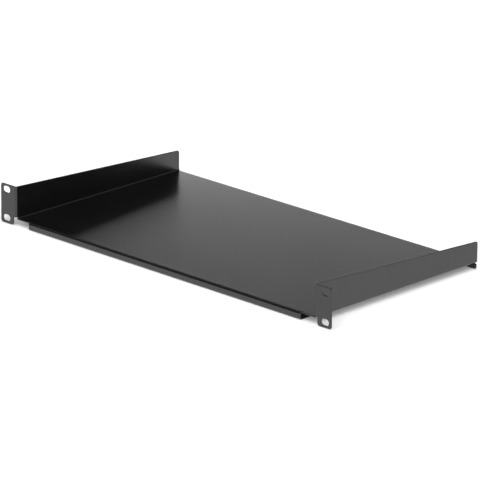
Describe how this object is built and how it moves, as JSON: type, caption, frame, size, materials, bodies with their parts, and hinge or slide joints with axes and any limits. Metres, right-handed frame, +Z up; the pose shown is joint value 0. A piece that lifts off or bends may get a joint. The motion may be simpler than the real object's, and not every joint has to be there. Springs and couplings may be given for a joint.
{
  "type": "cantilever rack shelf",
  "caption": "Low cantilever rack shelf folded from sheet steel: flat pan, side walls that taper to the rear, slotted front ears, a front channel and a rear lip.",
  "frame": {"origin": "midway between the ear slots, on the plane where the backs of the ears seat against the rack's posts", "axes": "+X to the right as seen from the front, +Y to the rear of the shelf, +Z up"},
  "size_m": [0.4826, 0.246, 0.044],
  "materials": {
    "black_powder_coat": "satin"
  },
  "bodies": {
    "root": {"shelf": "black_powder_coat"}
  },
  "joints": []
}
